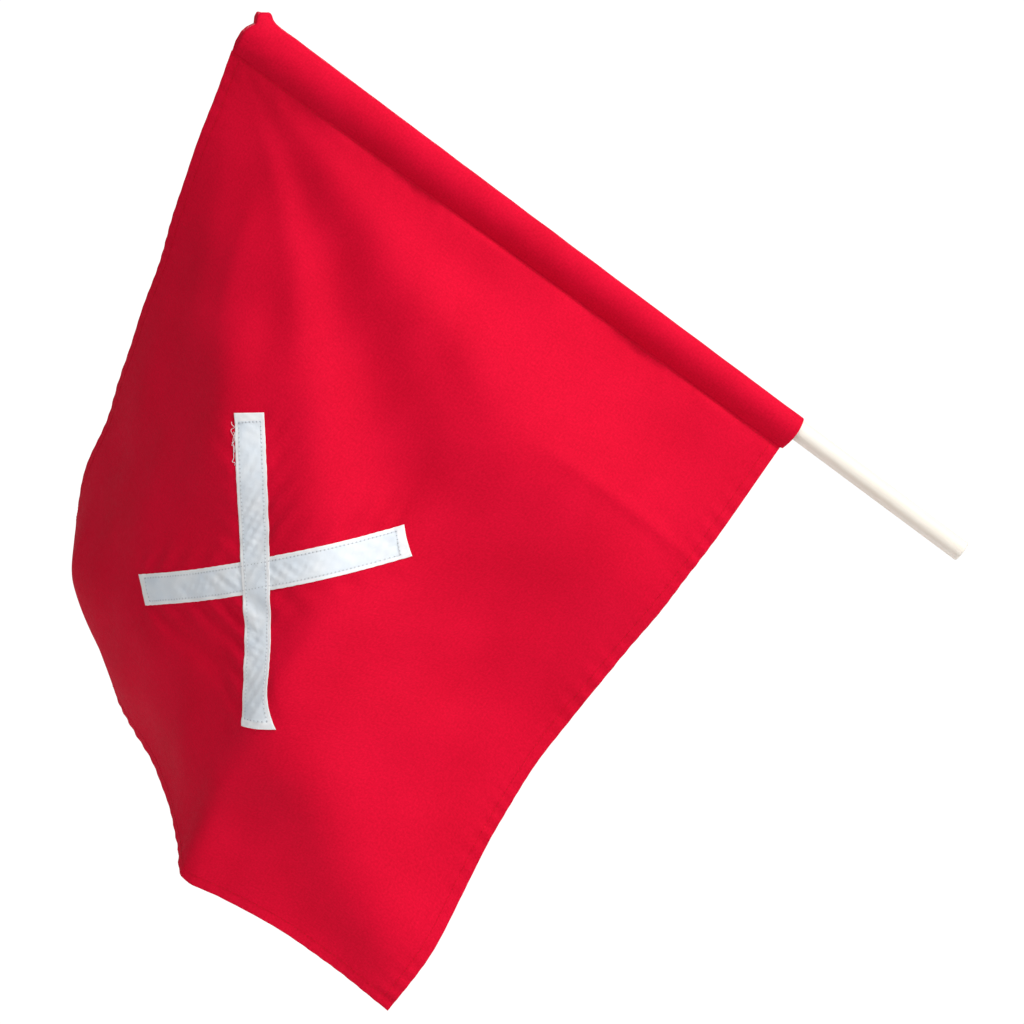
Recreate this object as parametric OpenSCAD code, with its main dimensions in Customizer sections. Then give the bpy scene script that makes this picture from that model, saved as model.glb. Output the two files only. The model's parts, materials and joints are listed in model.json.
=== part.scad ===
// Hand signal flag: a square cloth flag with two crossed reflective strips,
// sewn to a sleeve that is closed at one end and slips over a round wooden pole.
// Millimetres. The origin is on the pole's axis, in the middle of the bare handle.
// +X points to the pole's butt end, +Y away from the flag's face, +Z up.

/* [Pole] */
// Diameter of the round wooden pole
pole_d = 16; // [14:0.5:18]
// Length of the pole, from butt to tip
pole_len = 650; // [640:2:700]
// Length of the bare handle, from the butt to the sleeve's mouth
handle_len = 154; // [140:2:168]
// Angle of the pole below level, from the tip down to the butt, in degrees
pole_tilt = 36.6; // [0:0.1:60]
// Chamfer on both ends of the pole
pole_chamfer = 1; // [0.5:0.5:2]

/* [Sleeve] */
// Distance from the pole's axis to the seam that closes the sleeve
seam_drop = 21; // [16:1:26]
// Width of the cloth turned inside the sleeve's mouth
mouth_hem_w = 14; // [8:1:20]
// Depth of the pinched and stitched closed end
end_tuck_len = 5; // [4:1:8]
// Height of the ear of cloth that stands up at the closed end
ear_h = 9; // [4:1:12]

/* [Cloth] */
// Size of the flag along the pole
hoist = 500; // [470:5:520]
// Size of the flag from the sleeve's seam to the free edge
fly = 508; // [470:2:530]
// Thickness of the cloth
cloth_t = 0.6; // [0.4:0.1:0.8]
// Width of the hems
hem_w = 10; // [8:1:14]
// Depth of the folds that fan out from the tip
fold_depth = 16; // [6:1:22]
// How far the free edge bulges over the corner that hangs back
bulge = 18; // [0:1:20]
// How far the middle of the flag swells out of its face
swell = 54; // [45:1:58]

/* [Reflective cross] */
// Width of both strips
strip_w = 25.4; // [20:0.1:30]
// Length of both strips
strip_len = 236; // [200:2:260]
// Thickness of the strips
strip_t = 0.4; // [0.3:0.1:0.6]
// Distance of the crossing from the tip side, along the pole
cross_along = 238; // [220:2:260]
// Distance of the crossing from the sleeve's seam
cross_down = 283; // [280:2:320]

/* [Stitching] */
// Thickness of the sewing thread
thread_d = 0.5; // [0.4:0.1:0.8]
// Distance of the strip stitching from the strips' edges
strip_inset = 3.4; // [2:0.1:5]

/* [Hidden] */

$fn = 48;
flag_red = [0.82, 0.02, 0.07];
thread_red = [0.60, 0.01, 0.05];
tape_silver = [0.78, 0.81, 0.84];
thread_white = [0.94, 0.94, 0.92];
wood_cream = [0.90, 0.80, 0.64];

// Places along the pole's own axis, +X to the butt
butt_x = handle_len / 2;
tip_x = butt_x - pole_len;
tip_gap = 4;
sleeve_end_x = tip_x - tip_gap;
mouth_x = sleeve_end_x + hoist;

// Radii from the pole outwards: the mouth's turned-in band, then the sleeve
band_clear = 0.2;
band_t = 0.45;
sleeve_clear = 0.25;
band_inner_r = pole_d / 2 + band_clear;
band_outer_r = band_inner_r + band_t;
sleeve_inner_r = band_outer_r + sleeve_clear;
sleeve_outer_r = sleeve_inner_r + cloth_t;

// The flag's three free edges as [share of the edge, along the pole, back, down],
// for a flag of 500 by 508; they stretch with the flag's own size
drape_hoist = 500;
drape_fly = 508;
tip_edge = [
    [0, 0, 0, 0], [0.23, 24, 50, 104], [0.61, 67.5, 135, 270], [0.78, 85, 178, 343],
    [1, 144, 245, 415]
];
handle_edge = [
    [0, 500, 0, 0], [0.2, 502, -6, 103], [0.41, 498, 2, 209], [0.56, 495, 8, 286],
    [0.69, 500, 4, 352], [0.9, 516, -4, 460], [1, 515, 0, 506]
];
fly_edge = [
    [0, 144, 245, 415], [0.3, 223, 145, 459], [0.5, 292, 62, 486], [0.64, 335, 8, 516],
    [0.76, 394, -6, 507], [0.9, 462, -4, 504], [1, 515, 0, 506]
];

// Folds: the first crest and the valley, as angles from the seam seen from the tip
crest_angle = 15.5;
valley_angle = 31;
fan_middle = 30;
fan_half_width = 26;
fold_full_reach = 300;

// Grids, as counts of cells
panel_cells = 28;
strip_cells = 16;
thread_cells = 40;

// Heights above the middle of the cloth
face = cloth_t / 2;
strip_top = face + strip_t;
thread_h = thread_d * 0.7;
crossing_reach = 17;
probe = 0.004;

// ---- the drape: a smooth patch between the four edges, plus folds ----

function knot(edge, k) = [edge[k][1], edge[k][2], edge[k][3]];

function chord(edge, k) = (knot(edge, k + 1) - knot(edge, k)) / (edge[k + 1][0] - edge[k][0]);

function slope(edge, k) =
    k == 0 ? chord(edge, 0)
    : k == len(edge) - 1 ? chord(edge, k - 1)
    : let (before = edge[k][0] - edge[k - 1][0], after = edge[k + 1][0] - edge[k][0])
      (chord(edge, k - 1) * after + chord(edge, k) * before) / (before + after);

function span(edge, t, k = 0) =
    k < len(edge) - 2 && t > edge[k + 1][0] ? span(edge, t, k + 1) : k;

// A cubic through the edge's points, with the slope at each taken from its neighbours
function along_edge(edge, t) =
    let (k = span(edge, t), h = edge[k + 1][0] - edge[k][0], x = (t - edge[k][0]) / h)
    (2 * pow(x, 3) - 3 * pow(x, 2) + 1) * knot(edge, k)
    + (pow(x, 3) - 2 * pow(x, 2) + x) * h * slope(edge, k)
    + (3 * pow(x, 2) - 2 * pow(x, 3)) * knot(edge, k + 1)
    + (pow(x, 3) - pow(x, 2)) * h * slope(edge, k + 1);

// The fan of folds: crest, valley, crest at even angles from the tip
function fan(u, v) =
    let (
        angle = atan2(v * drape_fly, u * drape_hoist),
        reach = norm([u * drape_hoist, v * drape_fly]),
        wave = -cos(180 * (angle - crest_angle) / (valley_angle - crest_angle)),
        band = exp(-pow((angle - fan_middle) / fan_half_width, 4)),
        inside = pow(min(1, max(0, 16 * u * (1 - u) * v * (1 - v))), 0.7)
    )
    fold_depth * wave * band * inside * min(1, reach / fold_full_reach);

// The hump beside the free edge that hides the corner hanging back
function hump(u, v) =
    bulge * exp(-pow((v - 0.89) / 0.12, 2)) * exp(-pow((u - 0.04) / 0.3, 2))
    * pow(min(1, max(0, u / 0.1)), 0.5);

// The middle's own shift from the even patch, as [along the pole, back, down]
function belly(u, v) =
    let (a = 2 * u - 1, b = 2 * v - 1)
    16 * u * (1 - u) * v * (1 - v) * [
        1 + 4 * a - 9 * b - 2 * a * a - 2 * a * b - 6 * b * b,
        -swell + 23 * a + 3 * b + 19 * a * a + 27 * b * b,
        23 - 24 * a + 14 * b - 28 * a * a - 4 * a * b - 34 * b * b
    ];

// Middle of the cloth: u from the tip side to the handle side, v from the seam to the fly
function drape(u, v) =
    let (
        seam = [u * drape_hoist, 0, 0],
        edges = (1 - v) * seam + v * along_edge(fly_edge, u)
            + (1 - u) * along_edge(tip_edge, v) + u * along_edge(handle_edge, v),
        corners = u * (1 - v) * knot(handle_edge, 0) + (1 - u) * v * knot(fly_edge, 0)
            + u * v * knot(fly_edge, len(fly_edge) - 1),
        p = edges - corners + belly(u, v) + [0, fan(u, v), 0] + hump(u, v) * [-0.8, -0.4, 0.6]
    )
    [sleeve_end_x + p.x * hoist / drape_hoist, p.y, -seam_drop - p.z * fly / drape_fly];

function clamp01(t) = min(1, max(0, t));

// Unit direction out of the flag's face at u, v
function facing(u, v) =
    let (
        across = drape(clamp01(u + probe), v) - drape(clamp01(u - probe), v),
        downwards = drape(u, clamp01(v + probe)) - drape(u, clamp01(v - probe)),
        n = cross(downwards, across)
    )
    n / norm(n);

// ---- closed skins that follow the drape ----

// net[i][j] is [u, v, lower height, upper height], heights counted out of the face
module skin(net) {
    n = len(net);
    m = len(net[0]);
    low = [for (row = net) for (c = row) drape(c[0], c[1]) + c[2] * facing(c[0], c[1])];
    high = [for (row = net) for (c = row) drape(c[0], c[1]) + c[3] * facing(c[0], c[1])];
    function lo(i, j) = i * m + j;
    function hi(i, j) = n * m + i * m + j;
    function halves(a, b, c, d) = [[a, b, c], [a, c, d]];
    faces = [
        for (i = [0:n - 2]) for (j = [0:m - 2])
            each halves(hi(i, j), hi(i + 1, j), hi(i + 1, j + 1), hi(i, j + 1)),
        for (i = [0:n - 2]) for (j = [0:m - 2])
            each halves(lo(i, j), lo(i, j + 1), lo(i + 1, j + 1), lo(i + 1, j)),
        for (i = [0:n - 2]) each halves(hi(i + 1, 0), hi(i, 0), lo(i, 0), lo(i + 1, 0)),
        for (i = [0:n - 2])
            each halves(hi(i, m - 1), hi(i + 1, m - 1), lo(i + 1, m - 1), lo(i, m - 1)),
        for (j = [0:m - 2]) each halves(hi(0, j), hi(0, j + 1), lo(0, j + 1), lo(0, j)),
        for (j = [0:m - 2])
            each halves(hi(n - 1, j + 1), hi(n - 1, j), lo(n - 1, j), lo(n - 1, j + 1))
    ];
    polyhedron(concat(low, high), faces);
}

// A rectangle of the flag, from u0 to u1 and v0 to v1, between two heights
module patch(u0, u1, v0, v1, nu, nv, h0, h1) {
    skin([for (i = [0:nu]) [for (j = [0:nv])
        [u0 + (u1 - u0) * i / nu, v0 + (v1 - v0) * j / nv, h0, h1]]]);
}

// A line of stitches along the flag, as a thin raised bead
module seam_line(u0, v0, u1, v1, across_u, across_v, lift = 0) {
    skin([for (i = [0:thread_cells]) let (t = i / thread_cells)
        [for (side = [-0.5, 0.5]) [
            u0 + (u1 - u0) * t + side * across_u * thread_d / hoist,
            v0 + (v1 - v0) * t + side * across_v * thread_d / fly,
            face + lift, face + lift + thread_h
        ]]]);
}

// A point of a strip, from its run along the strip and its distance across it
function on_strip(turn, run, off) = [
    (cross_along + (run * turn + off) * sqrt(0.5)) / hoist,
    (cross_down + (run - off * turn) * sqrt(0.5)) / fly
];

// Extra height where the upper strip climbs over the lower one
function climb(run, over) = over ? strip_t * exp(-pow(run / crossing_reach, 6)) : 0;

// One strip of tape; turn is 1 for the strip down the flag, -1 for the one across it
module tape(turn, over) {
    skin([for (i = [0:strip_cells]) [for (side = turn * [-1, 0, 1])
        let (run = strip_len * (i / strip_cells - 0.5), p = on_strip(turn, run, side * strip_w / 2))
        [p.x, p.y, face, strip_top + climb(run, over)]]]);
}

// The two rows and two ends of stitches that hold a strip down
module tape_stitching(turn, over) {
    half_w = strip_w / 2 - strip_inset;
    half_l = strip_len / 2 - strip_inset;
    for (row = [-1, 1])
        skin([for (i = [0:thread_cells]) [for (side = turn * [-0.5, 0.5])
            let (run = half_l * (2 * i / thread_cells - 1),
                p = on_strip(turn, run, row * half_w + side * thread_d),
                base = strip_top + climb(run, over))
            [p.x, p.y, base, base + thread_h]]]);
    for (end = [-1, 1])
        skin([for (i = [0:1]) [for (side = turn * [-1, 0, 1])
            let (run = end * half_l + (i - 0.5) * thread_d,
                p = on_strip(turn, run, side * (half_w - thread_d)))
            [p.x, p.y, strip_top, strip_top + thread_h]]]);
}

// Turns a shape drawn along +X to lie along the sloping pole
module on_pole() {
    rotate([0, pole_tilt, 0]) children();
}

// Cross-section of the sleeve: a circle round the pole and two flat sides to the seam,
// drawn with the pole's axis at the origin and the seam towards -Y
module teardrop(r, drop) {
    half = acos(r / drop);
    circle(r);
    polygon([[-r * sin(half), -r * cos(half)], [0, -drop], [r * sin(half), -r * cos(half)], [0, 0]]);
}

// Stands a cross-section on the pole's axis from x0, for a length
module along_pole(x0, length) {
    translate([x0, 0, 0]) rotate([90, 0, 90]) linear_extrude(length) children();
}

// ---- sub-parts ----

module pole() {
    r = pole_d / 2;
    color(wood_cream) on_pole() translate([tip_x, 0, 0]) rotate([0, 90, 0])
        rotate_extrude() polygon([
            [0, 0], [r - pole_chamfer, 0], [r, pole_chamfer], [r, pole_len - pole_chamfer],
            [r - pole_chamfer, pole_len], [0, pole_len]
        ]);
}

// Cloth turned inside the sleeve's mouth, a free fit on the pole
module sleeve_mouth_hem() {
    color(flag_red) on_pole() translate([mouth_x - mouth_hem_w, 0, 0]) rotate([0, 90, 0])
        difference() {
            cylinder(h = mouth_hem_w, r = band_outer_r);
            translate([0, 0, -1]) cylinder(h = mouth_hem_w + 2, r = band_inner_r);
        }
}

module pole_sleeve() {
    color(flag_red) on_pole() along_pole(sleeve_end_x, hoist) difference() {
        teardrop(sleeve_outer_r, seam_drop);
        teardrop(sleeve_inner_r, seam_drop * sleeve_inner_r / sleeve_outer_r);
    }
}

// The closed end: the sleeve pinched flat, with an ear of spare cloth at its top
module sleeve_end_tuck() {
    flat_t = 3 * cloth_t;
    color(flag_red) on_pole() {
        hull() {
            along_pole(sleeve_end_x - 1, 1) teardrop(sleeve_outer_r, seam_drop);
            translate([sleeve_end_x - end_tuck_len, -flat_t / 2, -seam_drop + 2])
                cube([1, flat_t, seam_drop + sleeve_outer_r * 0.6]);
        }
        translate([sleeve_end_x - end_tuck_len - 4, -flat_t / 2, sleeve_outer_r * 0.3])
            cube([end_tuck_len + 4, flat_t, ear_h]);
    }
}

// Stitches across the closed end
module end_tuck_stitching() {
    color(thread_red) on_pole()
        translate([sleeve_end_x - end_tuck_len + 0.2, -1.5 * cloth_t - thread_d, -seam_drop + 4])
            cube([thread_d, 3 * cloth_t + 2 * thread_d, seam_drop]);
}

module flag_panel() {
    color(flag_red) on_pole() patch(0, 1, 0, 1, panel_cells, panel_cells, -face, face);
}

// The sleeve's raw edge, turned under and sewn along the seam on the back
module sleeve_seam_allowance() {
    color(flag_red) on_pole()
        patch(0, 1, 0.002, 0.9 * hem_w / fly, panel_cells, 1, -face - cloth_t, -face);
}

module handle_side_hem() {
    color(flag_red) on_pole()
        patch(1 - hem_w / hoist, 1, 0.02, 1, 1, panel_cells, -face - 2 * cloth_t, -face);
}

module tip_side_hem() {
    color(flag_red) on_pole()
        patch(0, hem_w / hoist, 0.02, 1, 1, panel_cells, -face - 2 * cloth_t, -face);
}

module fly_hem() {
    inset = hem_w / hoist;
    color(flag_red) on_pole()
        patch(inset, 1 - inset, 1 - hem_w / fly, 1, panel_cells, 1, -face - 2 * cloth_t, -face);
}

module reflective_strip_over() {
    color(tape_silver) on_pole() tape(1, true);
}

module reflective_strip_under() {
    color(tape_silver) on_pole() tape(-1, false);
}

module sleeve_seam_stitching() {
    row = 4 / fly;
    color(thread_red) on_pole() seam_line(0.004, row, 0.996, row, 0, 1);
}

module handle_hem_stitching() {
    row = 1 - 0.8 * hem_w / hoist;
    color(thread_red) on_pole() seam_line(row, 0.996, row, 0.004, 1, 0);
}

module tip_hem_stitching() {
    row = 0.8 * hem_w / hoist;
    color(thread_red) on_pole() seam_line(row, 0.996, row, 0.004, 1, 0);
}

module fly_hem_stitching() {
    row = 1 - 0.8 * hem_w / fly;
    color(thread_red) on_pole() seam_line(0.004, row, 0.996, row, 0, 1);
}

module strip_over_stitching() {
    color(thread_white) on_pole() tape_stitching(1, true);
}

module strip_under_stitching() {
    color(thread_white) on_pole() tape_stitching(-1, false);
}

// Loose ends of thread at the top corner of the upper strip
module loose_thread_ends() {
    cells = 8;
    spacing = 9;
    thread_len = 7;
    wander = 1.2;
    color(thread_white) on_pole() for (k = [0:2])
        skin([for (i = [0:cells]) [for (side = [-0.5, 0.5])
            let (run = -strip_len / 2 + 2 + spacing * k + thread_len * i / cells,
                off = -strip_w / 2 - 1 - wander * sin(180 * i / cells),
                p = on_strip(1, run, off + side * thread_d))
            [p.x, p.y, face, face + thread_d]]]);
}

pole();
sleeve_mouth_hem();
pole_sleeve();
sleeve_end_tuck();
end_tuck_stitching();
flag_panel();
sleeve_seam_allowance();
handle_side_hem();
tip_side_hem();
fly_hem();
reflective_strip_over();
reflective_strip_under();
sleeve_seam_stitching();
handle_hem_stitching();
tip_hem_stitching();
fly_hem_stitching();
strip_over_stitching();
strip_under_stitching();
loose_thread_ends();
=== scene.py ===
"""Hand signal flag: a red cloth with a cross of reflective tape, sewn to a sleeve on a wooden pole.

Shapes are worked out in millimetres in the flag's own frame, where +X runs along the pole to its
butt, +Y goes back from the flag's face and +Z goes up across the pole. Blender gets metres.
"""
import json

import bpy
import numpy as np
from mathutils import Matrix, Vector


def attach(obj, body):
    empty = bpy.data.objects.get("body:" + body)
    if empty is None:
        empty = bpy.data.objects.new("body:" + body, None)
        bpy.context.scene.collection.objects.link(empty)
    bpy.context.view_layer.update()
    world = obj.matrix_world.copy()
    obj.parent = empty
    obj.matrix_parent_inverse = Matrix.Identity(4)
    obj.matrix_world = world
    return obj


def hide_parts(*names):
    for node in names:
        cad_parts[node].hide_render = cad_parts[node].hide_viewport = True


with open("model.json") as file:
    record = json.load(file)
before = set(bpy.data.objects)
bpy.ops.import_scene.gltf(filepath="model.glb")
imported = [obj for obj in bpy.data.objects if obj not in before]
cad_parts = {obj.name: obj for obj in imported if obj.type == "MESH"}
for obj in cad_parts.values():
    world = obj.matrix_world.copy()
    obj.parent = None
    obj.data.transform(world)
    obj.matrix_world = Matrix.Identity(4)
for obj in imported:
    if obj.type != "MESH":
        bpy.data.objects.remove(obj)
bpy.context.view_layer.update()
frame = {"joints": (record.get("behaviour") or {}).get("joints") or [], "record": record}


# ---- pole ----
# A round dowel of pale, close-grained wood, planed to 16 mm and sanded smooth, with both ends
# eased. The sleeve slips over it, and its bare end is the handle.

MM = 0.001
POLE_RADIUS = 8.0
POLE_LENGTH = 650.0
POLE_SIDES = 96
PALE_WOOD = (0.97, 0.92, 0.84, 1.0)
WOOD_GRAIN = (0.87, 0.78, 0.65, 1.0)

# How an end is eased, as [distance from it, change of the radius]
END_EASING = [[0.0, -1.6], [0.12, -0.9], [0.45, -0.35], [1.0, -0.08], [1.8, 0.0]]

turn_joint = next(j for j in frame["joints"] if j["name"] == "flag_turn")
butt_mount = next(m for m in frame["record"]["mounts"] if m["name"] == "butt_end")
ALONG = np.array(turn_joint["axis"], float)
BACK = np.array([0.0, 1.0, 0.0])
UP = np.cross(ALONG, BACK)
BUTT_X = np.linalg.norm(butt_mount["pos_m"]) / MM
TIP_X = BUTT_X - POLE_LENGTH


def to_world(points):
    """The flag's own frame to the row frame: x times the pole's direction, plus y back, plus z up."""
    p = np.asarray(points, float)
    return MM * (p[..., :1] * ALONG + p[..., 1:2] * BACK + p[..., 2:3] * UP)


def grid_quads(rows, cols, wrap_rows=False, wrap_cols=False):
    """The four corners of every cell of a rows by cols grid of points; a wrapped side joins up."""
    k = np.arange(rows * cols).reshape(rows, cols)
    if wrap_rows:
        k = np.vstack([k, k[:1]])
    if wrap_cols:
        k = np.hstack([k, k[:, :1]])
    return np.stack([k[:-1, :-1], k[:-1, 1:], k[1:, 1:], k[1:, :-1]], -1).reshape(-1, 4)


def add_mesh(name, points, quads, ends=(), **attributes):
    """A smooth mesh object from points in the flag's own frame. The signed volume, the sum of the
    faces' corner products, says whether the skin is inside out, and then every face is turned."""
    place = to_world(np.asarray(points, float).reshape(-1, 3))
    a, b, c, d = (place[quads[:, i]] for i in range(4))
    volume = (a * np.cross(b, c)).sum() + (a * np.cross(c, d)).sum()
    faces = quads.tolist() + [list(end) for end in ends]
    if volume < 0:
        faces = [face[::-1] for face in faces]
    mesh = bpy.data.meshes.new(name)
    mesh.from_pydata(place.tolist(), [], faces)
    for label, values in attributes.items():
        layer = mesh.attributes.new(label, "FLOAT_VECTOR", "POINT")
        layer.data.foreach_set("vector", np.asarray(values, np.float32).ravel())
    mesh.polygons.foreach_set("use_smooth", np.arange(len(faces)) < len(quads))
    mesh.update()
    made = bpy.data.objects.new(name, mesh)
    bpy.context.scene.collection.objects.link(made)
    return made


def add_node(tree, kind, inputs=None, **settings):
    """A shader node with its properties set and its inputs given a value or joined to a socket."""
    made = tree.nodes.new("ShaderNode" + kind)
    for key, value in settings.items():
        setattr(made, key, value)
    for key, value in (inputs or {}).items():
        if isinstance(value, bpy.types.NodeSocket):
            tree.links.new(value, made.inputs[key])
        else:
            made.inputs[key].default_value = value
    return made


def math_node(tree, operation, first, second=0.0, third=0.0):
    """One Math node's result; MULTIPLY_ADD gives the first times the second plus the third."""
    inputs = {0: first, 1: second, 2: third}
    return add_node(tree, "Math", inputs, operation=operation).outputs[0]


def mix_colours(tree, share, first, second):
    """A share of the way from one colour to another."""
    inputs = {"Factor": share, "A": first, "B": second}
    return add_node(tree, "Mix", inputs, data_type="RGBA").outputs["Result"]


def new_group(name, inputs, outputs):
    """An empty shader node group with its sockets; gives its tree, its inputs and its outputs."""
    tree = bpy.data.node_groups.new(name, "ShaderNodeTree")
    for way, sockets in (("INPUT", inputs), ("OUTPUT", outputs)):
        for label, kind in sockets:
            tree.interface.new_socket(label, in_out=way, socket_type="NodeSocket" + kind)
    return tree, tree.nodes.new("NodeGroupInput").outputs, tree.nodes.new("NodeGroupOutput").inputs


def make_mottle():
    """Soft uneven patches: fractal noise at a scale, stretched to run from low to high."""
    tree, given, result = new_group(
        "mottle",
        [("Place", "Vector"), ("Scale", "Float"), ("Low", "Float"), ("High", "Float")],
        [("Value", "Float")],
    )
    noise = add_node(
        tree, "TexNoise", {"Vector": given["Place"], "Scale": given["Scale"], "Detail": 3.0}
    )
    stretched = add_node(
        tree,
        "MapRange",
        {"Value": noise.outputs[0], "From Min": 0.3, "From Max": 0.7,
         "To Min": given["Low"], "To Max": given["High"]},
    )
    tree.links.new(stretched.outputs[0], result["Value"])
    return tree


MOTTLE = make_mottle()


def mottle(tree, place, scale, low, high):
    """Places the mottle group and gives its value."""
    inputs = {"Place": place, "Scale": scale, "Low": low, "High": high}
    return add_node(tree, "Group", inputs, node_tree=MOTTLE).outputs[0]


def new_material(name, place_attribute, **shader_values):
    """A material with its Principled shader's even values set; gives it with its tree, its shader
    and the piece's own coordinates."""
    made = bpy.data.materials.new(name)
    made.use_nodes = True
    tree = made.node_tree
    shader = tree.nodes["Principled BSDF"]
    for label, value in shader_values.items():
        shader.inputs[label.replace("_", " ")].default_value = value
    place = add_node(tree, "Attribute", attribute_name=place_attribute).outputs["Vector"]
    return made, tree, shader, place


def set_bump(tree, shader, height, distance):
    """Feeds a height, in shares of a distance in metres, to the shader's normal."""
    bump = add_node(tree, "Bump", {"Height": height, "Distance": distance, "Strength": 1.0})
    tree.links.new(bump.outputs[0], shader.inputs["Normal"])


def wood_finish():
    """Pale sanded wood: long thin streaks of grain from noise squeezed across the pole, fine open
    pores, and a slow drift of colour along it."""
    made, tree, shader, place = new_material(
        "pale_dowel_wood", "own_place", **{"Specular_IOR_Level": 0.35}
    )
    streaks = add_node(tree, "Mapping", {"Vector": place, "Scale": (4.0, 190.0, 190.0)})
    pores = add_node(tree, "Mapping", {"Vector": place, "Scale": (160.0, 2600.0, 2600.0)})
    grain = mottle(tree, streaks.outputs[0], 1.6, 0.0, 1.0)
    pore = mottle(tree, pores.outputs[0], 1.0, 0.0, 1.0)
    drift = mottle(tree, place, 7.0, 0.0, 0.35)
    tone = math_node(tree, "MULTIPLY_ADD", grain, 0.6, drift)
    colour = mix_colours(tree, tone, PALE_WOOD, WOOD_GRAIN)
    tree.links.new(colour, shader.inputs["Base Color"])
    tree.links.new(mottle(tree, streaks.outputs[0], 2.4, 0.42, 0.58), shader.inputs["Roughness"])
    relief = math_node(tree, "ADD", math_node(tree, "MULTIPLY", grain, 0.5), pore)
    set_bump(tree, shader, relief, 0.00005)
    return made


def make_pole():
    """A lathe: each profile point's radius is swept round the pole's axis, and the two ends are
    closed with a flat disc."""
    eased = np.array(END_EASING)
    middle = np.linspace(TIP_X + 12, BUTT_X - 12, 60)
    x = np.concatenate([TIP_X + eased[:, 0], middle, (BUTT_X - eased[:, 0])[::-1]])
    r = POLE_RADIUS + np.concatenate([eased[:, 1], 0 * middle, eased[::-1, 1]])
    angle = np.linspace(0, 2 * np.pi, POLE_SIDES, endpoint=False)
    points = np.stack(
        [
            np.repeat(x[:, None], POLE_SIDES, 1),
            r[:, None] * np.cos(angle),
            r[:, None] * np.sin(angle),
        ],
        -1,
    )
    quads = grid_quads(len(x), POLE_SIDES, wrap_cols=True)
    first = np.arange(POLE_SIDES)
    last = first + (len(x) - 1) * POLE_SIDES
    ends = [first[::-1].tolist(), last.tolist()]
    return add_mesh("wooden_pole", points, quads, ends, own_place=points * MM)


pole = make_pole()
pole.data.materials.append(wood_finish())
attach(pole, "pole")
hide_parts("pole")


# ---- flag cloth ----
# The flying part: one square of close-woven red cloth with a soft sheen. Three edges are turned
# to the back as hems, and it hangs from its seam with one corner blown back behind the rest.

HOIST = 500.0
FLY = 508.0
HALF_CLOTH = 0.2
HEM_WIDTH = 10.0
HEM_EXTRA = 0.9
HEM_ROW = 8.0
SEAM_ROW = 1.8
STITCH_PITCH = 3.0
PANEL_CELLS = 168
SEAM_DROP_TIP = 24.3
SEAM_DROP_MOUTH = 17.8
TIP_GAP = 4.0
SLEEVE_END_X = TIP_X - TIP_GAP
DEEP_RED = (0.62, 0.0014, 0.018, 1.0)
BRIGHT_RED = (0.87, 0.0040, 0.041, 1.0)
# The deep red painted into the needle holes as the shade inside them
RED_SHADE_IN_HOLES = (0.12, 0.002, 0.006, 1.0)
CLOTH_HOLE_RADIUS = 0.0006

# How far apart the places are that a slope is taken between
FEEL = 0.4

# The free edges as [share of the edge, along the pole, back, down from the seam]
TIP_EDGE = [
    [0, 0, 0, 0], [0.23, 24, 50, 104], [0.61, 67.5, 135, 270], [0.78, 85, 178, 343],
    [1, 144, 245, 415]
]
HANDLE_EDGE = [
    [0, 500, 0, 0], [0.2, 502, -6, 103], [0.41, 498, 2, 209], [0.56, 495, 8, 286],
    [0.69, 500, 4, 352], [0.9, 516, -4, 460], [1, 515, 0, 506]
]
FLY_EDGE = [
    [0, 144, 245, 415], [0.3, 223, 145, 459], [0.5, 292, 62, 486], [0.58, 317, 32, 504],
    [0.64, 335, 8, 517], [0.7, 364, 1, 512], [0.76, 394, -6, 507], [0.9, 462, -4, 504],
    [1, 515, 0, 506]
]

# How far the middle stands off the blended patch, along the pole, back and down, each as the
# six terms of a curved slope: an even part, u, v, u squared, u times v, v squared
BELLY = [[1, 4, -9, -2, -2, -6], [-54, 23, 3, 19, 0, 27], [23, -24, 14, -28, -4, -34]]

# A fan of folds from the tip corner: half a fold's angle, where the fan is full and how fast it
# fades to each side, the folds' height, and how far down they reach it
FOLD_ANGLE = 15.5
FAN_MIDDLE = 26.0
FAN_SPREAD = 18.0
FAN_HEIGHT = 16.0
FAN_REACH = 300.0

# A hump by the low free corner, as shares of the hoist and the fly, then its size and its way
HUMP_AT = [0.04, 0.89]
HUMP_SPREAD = [0.3, 0.12]
HUMP_HEIGHT = 18.0
HUMP_WAY = [-0.8, -0.4, 0.6]

# Tape cross, which the cloth puckers round
CROSS_ALONG = 238.0
CROSS_DOWN = 283.0
TAPE_WIDTH = 25.4
TAPE_LENGTH = 236.0

# Soft folds and creases, as [start along and down, end along and down, half width, height]
SWELLS = [
    [300, 345, 590, 545, 36, 10.0],
    [71, 144, 201, 274, 40, 10.0],
    [275, 292, 395, 412, 36, 9.0],
]
CREASES = [
    [160, 372, 305, 360, 8, -1.4],
    [290, 442, 375, 374, 9, 1.3],
    [330, 104, 520, 106, 6, 1.7],
    [205, 78, 330, 128, 16, -2.2],
    [262, 182, 340, 214, 8, 1.0],
    [250, 200, 330, 262, 7, -0.9],
    [180, 150, 128, 236, 12, 1.2],
    [395, 200, 430, 330, 22, -2.5],
    [96, 300, 40, 372, 12, 1.3],
    [60, 60, 96, 190, 12, 1.6],
]

# Slow unevenness of the hanging cloth, as [direction in degrees, wavelength, height, phase]
SOFT_WAVES = [[20, 96, 0.8, 0.4], [74, 71, 0.5, 2.0], [128, 118, 0.9, 4.1], [160, 47, 0.25, 1.2]]

# Puckers along the hems, as [height, phase] for the tip side, the handle side and the fly end,
# and along the seam and the tape
HEM_PUCKERS = [[0.3, 0.3], [0.6, 1.9], [0.45, 3.1]]
PUCKER_LENGTH = 13.0
PUCKER_REACH = 15.0
STITCH_DIP = 0.09
SEAM_PUCKER = 0.4
TAPE_PUCKER = 0.95
TAPE_PUCKER_LENGTH = 23.0
TAPE_PUCKER_REACH = 17.0

# How much of the relief the tape's stiffness takes out of the cloth under it
TAPE_FLATTENS = 0.55


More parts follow.
